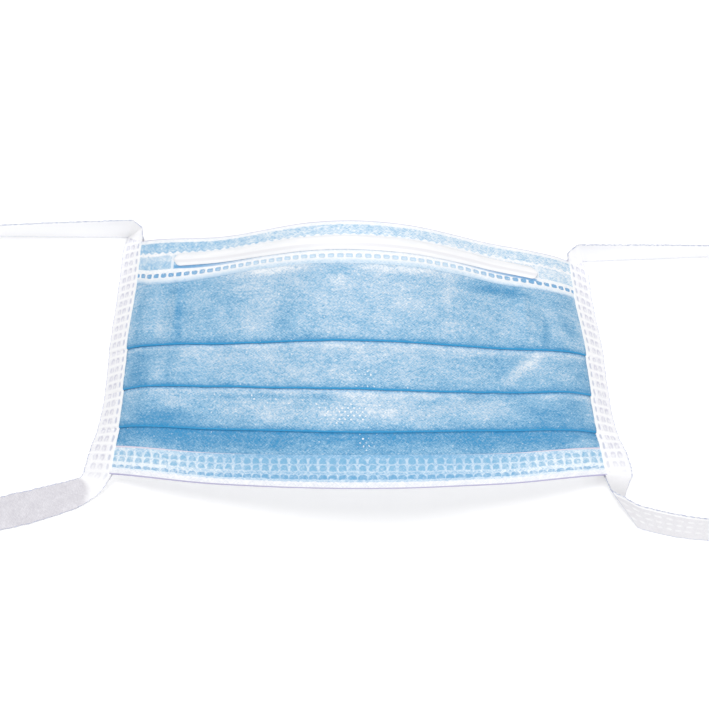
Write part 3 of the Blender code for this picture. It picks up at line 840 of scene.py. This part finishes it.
def hem(name, at_top, near, far, material):
    """A strip turned over the top or bottom edge of the body."""
    radius = (HEM_UP + HEM_DOWN) / 2
    front = np.linspace(near, radius, round(near / HEM_ROW_STEP))
    turn = np.radians(np.linspace(0, 180, 9))[1:-1]
    back = np.linspace(radius, far, 12)
    inward = np.concatenate([front, radius - radius * np.sin(turn), back])
    middle = (HEM_UP - HEM_DOWN) / 2
    height = np.concatenate([
        np.full(len(front), HEM_UP), middle + radius * np.cos(turn), np.full(len(back), -HEM_DOWN)])
    reach = inward_share(BINDING_WIDTH - HEM_UNDER)
    across = np.linspace(-reach, reach, 440)[None, :]
    fuller = 1 - across ** 2
    deep = inward[:, None] * (1 + HEM_FULLER[0 if at_top else 1] * fuller)
    if at_top:
        beside = smooth(0.0085, 0.017, (1 - np.abs(across)) * WIDTH / 2)
        humps = sum(more * np.exp(-((across - at) / spread) ** 2) for at, spread, more in HEM_HUMPS)
        deep = deep * (1 + humps * beside)
    drop = deep if at_top else HEIGHT - deep
    u = np.broadcast_to(across * WIDTH / 2, deep.shape)
    v = np.where(height > middle, inward, -inward)[:, None] * np.ones_like(across)
    pitch, rows = (TOP_PITCH, TOP_MARKS) if at_top else (BOTTOM_PITCH, BOTTOM_MARKS)
    pressed = DENT * dents(u / MM, v / MM, pitch, rows)
    on_front = np.arange(len(inward)) < len(front)
    thickness = HEM_CLOTH * (1 - 0.75 * smooth(near - 0.0016, near, inward) * on_front)
    height = height - (HEM_CLOTH - thickness) / 2
    grid = place(across, drop, height[:, None] - pressed + relief(across, drop))
    if not at_top:
        v = v + 0.0008 * across ** 2 * smooth(0.001, 0.003, v)
    uv = np.stack([u, v], axis=-1) / MM
    flat = (float(path_length(grid, 1)[:, -1].mean()), float(path_length(grid, 0)[-1].mean()))
    return shell(name, grid, thickness[:, None, None], uv, [material], flip=at_top), flat


def nose_wire():
    """A flat bar with crowned faces and round ends, bent with the hem."""
    half_length, half_width = WIRE_LENGTH / 2, WIRE_WIDTH / 2
    bend = np.radians(np.linspace(0, 90, 9))
    ends = half_width * (1 - np.cos(bend))[:-1]
    straight = np.linspace(-half_length + half_width, half_length - half_width, 200)
    along = np.concatenate([-half_length + ends, straight, (half_length - ends)[::-1]])
    past_straight = np.maximum(0, half_width - (half_length - np.abs(along)))
    wide = np.sqrt(np.maximum(half_width ** 2 - past_straight ** 2, 1e-9))
    side = np.linspace(-1, 1, 15)[:, None]
    sag = np.where(along < 0, *WIRE_SAG) * (along / half_length) ** 2
    drop = WIRE_DROP + sag[None, :] + side * wide[None, :]
    across = ((along + WIRE_SHIFT) / (WIDTH / 2))[None, :]
    crown = WIRE_CROWN * (1 - side ** 4) * np.ones_like(across)
    height = HEM_UP + HEM_CLOTH / 2 + WIRE_RISE + crown
    grid = place(across, drop, height + relief(across, drop))
    u = np.broadcast_to(along[None, :], grid.shape[:2])
    v = np.broadcast_to((side + 1) * half_width, grid.shape[:2])
    uv = np.stack([u, v], axis=-1) / MM
    return shell("nose_bar", grid, WIRE_SHEET, uv, [WIRE])


# The ties, as mm outwards, up the mask and above the floor, from the outer end of
# the binding: the edge that goes on from the binding's outer edge, then the other.
# Straight lines join a corner's rows, and curves a run's.
UPPER_TIE = {
    "corner": (
        (-1.0, 3.3, 1.0, -6.7, 0.3, 7.9),
        (-1.2, 3.7, 0.9, -6.7, 2.6, 8.2),
        (-0.4, 3.9, 0.6, -3.6, 4.6, 10.0)),
    "run": (
        (4.0, 4.1, 0.4, 2.6, 4.2, 10.4),
        (20.0, 4.5, 0.4, 18.5, 3.9, 10.4),
        (44.9, 5.2, 0.4, 43.0, 3.2, 10.3)),
}
LOWER_LEFT_TIE = {
    "corner": (
        (1.3, -1.6, 0.6, -6.9, -4.9, 2.6),
        (3.8, -2.2, 0.4, -4.1, -7.6, 0.9)),
    "run": (
        (7.4, -3.2, 0.4, 0.7, -10.6, 0.4),
        (13.5, -4.6, 0.4, 11.0, -14.5, 0.4),
        (28.6, -8.2, 0.4, 26.2, -18.4, 0.4)),
}
LOWER_RIGHT_TIE = {
    "corner": (
        (-0.2, -0.8, 0.8, -8.9, -1.9, 4.6),
        (-1.6, -3.9, 0.5, -8.5, -4.8, 6.2),
        (-2.9, -7.0, 0.5, -8.2, -7.6, 8.2),
        (0.3, -16.9, 0.4, -8.2, -8.4, 9.2),
        (1.7, -17.6, 0.4, -4.6, -10.7, 9.6)),
    "run": (
        (3.9, -18.2, 0.4, -1.2, -13.0, 9.9),
        (6.5, -18.9, 0.4, 3.7, -14.8, 10.1),
        (12.1, -20.2, 0.4, 12.1, -16.9, 10.2),
        (24.3, -21.7, 0.4, 23.9, -18.6, 10.2)),
}
ROW_STEP = 0.0003


def tie_edges(side, end_row, tie):
    """Both edges of a tie at every ROW_STEP, and at which row each corner part ends."""
    def row(values):
        values = np.array(values, float).reshape(2, 3) * MM
        values[:, 0] = end_row[0, 0] + side * values[:, 0]
        values[:, 1] += end_row[0, 1]
        return values

    rows = [end_row] + [row(values) for values in tie["corner"]]
    edges, ends = [], []
    for first, second in zip(rows, rows[1:]):
        reach = np.linalg.norm(second - first, axis=1).max()
        share = np.linspace(0, 1, max(2, math.ceil(reach / ROW_STEP)), endpoint=False)
        edges.extend(first + (second - first) * s for s in share)
        ends.append(len(edges))
    run = np.array([rows[-1]] + [row(values) for values in tie["run"]])
    stations = np.concatenate([[0], np.cumsum(np.linalg.norm(np.diff(run, axis=0), axis=2).mean(axis=1))])
    at = np.linspace(0, stations[-1], math.ceil(stations[-1] / ROW_STEP))
    edges.extend(through(stations, run.reshape(-1, 6), at).reshape(-1, 2, 3))
    edges = np.array(edges)
    for _ in range(3):
        edges[1:-1] = (edges[:-2] + 2 * edges[1:-1] + edges[2:]) / 4
    return edges[1:], ends


def ragged(rng, count, amount):
    """Small even-sized unevenness along an edge, smoothed over a few rows."""
    values = np.convolve(rng.normal(size=count + 4), (0.2, 0.25, 0.3, 0.25, 0.2), "valid")
    return values * amount


def side_strip(name, side, upper, lower, seed):
    """Binding and both ties as one strip, folded along its outer edge."""
    share = np.linspace(0, 1, 27)
    drops = np.linspace(0, HEIGHT, 256)
    inward = BINDING_RADIUS + share * (BINDING_WIDTH - BINDING_RADIUS)
    across = side * inward_share(inward)
    follows = STRIP_FOLLOWS[0] + STRIP_FOLLOWS[1] * share
    press = panel_level(drops[:, None], layer_step(across)[None, :]) * follows[None, :]
    middle = (BINDING_UP - BINDING_DOWN) / 2
    arch = place(across[None, :], drops[:, None], middle + press)
    above, above_ends = tie_edges(side, arch[0][[0, -1]], upper)
    below, below_ends = tie_edges(side, arch[-1][[0, -1]], lower)
    spread = [edges[:, :1] + (edges[:, 1:] - edges[:, :1]) * share[:, None] for edges in (above, below)]
    base = np.concatenate([spread[0][::-1], arch, spread[1]])
    start_row, end_row = len(above), len(above) + len(arch) - 1
    rng = np.random.default_rng(seed)
    wide = unit(base[:, -1] - base[:, 0])
    inner_rag, outer_rag = (ragged(rng, len(base), amount) for amount in STRIP_RAGGED)
    shift = inner_rag[:, None] * share ** 6 - outer_rag[:, None] * (1 - share) ** 6
    base = base + wide[:, None] * shift[..., None]
    along = np.gradient(base, axis=0)
    over = np.gradient(base, axis=1)
    normal = unit(np.cross(over, -along) if side < 0 else np.cross(-over, -along))
    length = path_length(base, 0).mean(axis=1)
    start, end = length[start_row], length[end_row]
    out, into = LEAVES_PART
    inside = smooth(start - out, start + into, length) * smooth(end + out, end - into, length)
    gap = TIE_GAP + ((BINDING_UP + BINDING_DOWN) / 2 - TIE_GAP) * inside
    crease_above = length[start_row - above_ends[0]]
    crease_below = length[end_row + below_ends[0]]

    def mark_share(inner):
        """Where the weld marks are: less far up and down along the inner edge."""
        from_top = length[:, None] - crease_above - MARKS_LATER * inner
        to_end = crease_below - length[:, None] - MARKS_STOP
        fainter = 0.4 + 0.6 * smooth(0.001, 0.010, to_end)
        return smooth(-0.0002, 0.0002, from_top) * smooth(-0.0002, 0.0020, to_end) * fainter

    u, v = np.broadcast_arrays(share * TIE_WIDTH, (length - start)[:, None])
    pressed = DENT * dents(v / MM, u / MM, STRIP_PITCH, STRIP_MARKS) * mark_share(share)
    front = base + normal * (gap[:, None] - pressed)[..., None]
    back = base - normal * gap[:, None, None]
    turns = np.radians(np.linspace(0, 180, 9))[1:-1]
    outward = unit(base[:, 0] - base[:, 1])
    bends = [base[:, 0] + (normal[:, 0] * math.cos(a) + outward * math.sin(a)) * gap[:, None] for a in turns]
    grid = np.concatenate([front[:, ::-1], np.stack(bends, axis=1), back], axis=1)
    grid[..., 2] = np.maximum(grid[..., 2], STRIP_CLOTH * LEAST_HEIGHT)
    around = np.concatenate([share[::-1], np.zeros(len(turns)), -share]) * TIE_WIDTH
    uv = np.stack(np.broadcast_arrays(around, (length - start)[:, None]), axis=-1) / MM
    piece = shell(name, grid, STRIP_CLOTH, uv, [STRIP], flip=side > 0)
    inner = np.abs(around)[None, :] / TIE_WIDTH
    welded = mark_share(inner)
    # Dash marks, the painted highlight of its upper edge and a painted shade line at its fold: lower right
    # tie only
    dashes_and_highlight, shade_line = np.zeros(len(length)), np.zeros(len(length))
    if len(below_ends) > 3:
        fold = length[end_row + below_ends[3]]
        past_fold = smooth(fold - SOFT_LINE, fold + SOFT_LINE, length)
        dashes_and_highlight = past_fold * smooth(fold + 0.030, fold + 0.018, length)
        shade_line = 0.8 * np.exp(-((length - fold) / 0.0002) ** 2)
        past_crease = smooth(crease_below - 0.0002, crease_below + 0.0008, length)
        grey = (0.25 * past_crease + 0.25 * past_fold)[:, None]
    else:
        from_crease = length[:, None] - crease_below - 0.0045 * inner ** 2
        grey = smooth(-0.0002, 0.0012 + 0.003 * inner, from_crease)
    for label, values in zip(STRIP_LABELS, (grey, welded, dashes_and_highlight[:, None], shade_line[:, None])):
        paint(piece, label, np.broadcast_to(values, grid.shape[:2]))
    return piece, float(length[-1])


BODY = body_material()
LINING = lining_material()
TOP = top_hem_material()
BOTTOM = bottom_hem_material()
STRIP = strip_material()
WIRE = wire_material()

body, body_length = pleated_body()
top, top_flat = hem("top_hem_cloth", True, TOP_HEM, HEM_TURN, TOP)
bottom, bottom_flat = hem("bottom_hem_cloth", False, HEIGHT - LOW_HEM_EDGE, HEM_TURN, BOTTOM)
bar = nose_wire()
left, left_length = side_strip("left_strip", -1, UPPER_TIE, LOWER_LEFT_TIE, 5)
right, right_length = side_strip("right_strip", 1, UPPER_TIE, LOWER_RIGHT_TIE, 6)

for piece, slot, *nodes in (
    (body, "outer_cloth", "pleated_body"),
    (top, "hem_cloth", "top_hem"),
    (bottom, "hem_cloth", "bottom_hem"),
    (bar, "coated_wire", "nose_wire"),
    (left, "white_strip", "left_binding", "upper_left_tie", "lower_left_tie"),
    (right, "white_strip", "right_binding", "upper_right_tie", "lower_right_tie"),
):
    piece.data.transform(Matrix.Translation(ORIGIN))
    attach(piece, "root")
    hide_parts(*nodes)

# Floor, light and camera

FLOOR_HALF = 1.6
FLOOR_TONE = 0.93
FLOOR_GLOW = 0.20        # lifts it to the photograph's plain white
SKY = 0.36
KEY_LIGHT = {"place_at": (-0.32, 0.36, 1.30), "size": 0.95, "power": 11.0}
FILL_LIGHT = {"place_at": (0.50, -0.85, 0.85), "size": 1.1, "power": 7.5}
PICTURE = 709            # the photograph's width in pixels
FOCAL_PIXELS = 1398.1
SHIFT_PIXELS = -1.4
SENSOR = 36              # mm
CAMERA_TILT = 26         # degrees off the vertical
CAMERA_ROLL = -0.951
CAMERA_AWAY = 0.45
CAMERA_AIM = Vector((0, 0.0133, 0))


def studio_floor():
    corners = [(x * FLOOR_HALF, y * FLOOR_HALF, 0) for x, y in ((-1, -1), (1, -1), (1, 1), (-1, 1))]
    mesh = bpy.data.meshes.new("floor")
    mesh.from_pydata(corners, [], [(0, 1, 2, 3)])
    floor = bpy.data.objects.new("floor", mesh)
    bpy.context.scene.collection.objects.link(floor)
    material = bpy.data.materials.new("pale_floor")
    material.use_nodes = True
    shader = material.node_tree.nodes["Principled BSDF"]
    shader.inputs["Base Color"].default_value = (FLOOR_TONE, FLOOR_TONE, FLOOR_TONE, 1)
    shader.inputs["Roughness"].default_value = 0.9
    shader.inputs["Emission Color"].default_value = (1, 1, 1, 1)
    shader.inputs["Emission Strength"].default_value = FLOOR_GLOW
    mesh.materials.append(material)


def area_light(name, place_at, size, power):
    data = bpy.data.lights.new(name, "AREA")
    data.shape = "DISK"
    data.size = size
    data.energy = power
    light = bpy.data.objects.new(name, data)
    bpy.context.scene.collection.objects.link(light)
    light.location = place_at
    to_middle = -Vector(place_at)
    light.rotation_euler = to_middle.to_track_quat("-Z", "Y").to_euler()


def camera():
    """The photograph's view, from the chin side."""
    tilt, roll = math.radians(CAMERA_TILT), math.radians(CAMERA_ROLL)
    aim = CAMERA_AIM + ORIGIN
    back = Vector((0, -math.sin(tilt), math.cos(tilt)))
    up = Vector((0, math.cos(tilt), math.sin(tilt)))
    data = bpy.data.cameras.new("camera")
    data.sensor_width = SENSOR
    data.lens = FOCAL_PIXELS / PICTURE * SENSOR
    data.clip_start = 0.01
    data.shift_x = SHIFT_PIXELS / PICTURE
    view = bpy.data.objects.new("camera", data)
    bpy.context.scene.collection.objects.link(view)
    turn = Matrix(((1, 0, 0), up, back)).transposed().to_4x4()
    stand = Matrix.Translation(aim + back * CAMERA_AWAY)
    view.matrix_world = stand @ turn @ Matrix.Rotation(roll, 4, "Z")
    bpy.context.scene.camera = view


studio_floor()
area_light("key", **KEY_LIGHT)
area_light("fill", **FILL_LIGHT)
world = bpy.data.worlds.new("studio")
world.use_nodes = True
world.node_tree.nodes["Background"].inputs[0].default_value = (1, 1, 1, 1)
world.node_tree.nodes["Background"].inputs[1].default_value = SKY
bpy.context.scene.world = world
camera()
bpy.context.scene.view_settings.view_transform = "Standard"

bpy.context.view_layer.update()
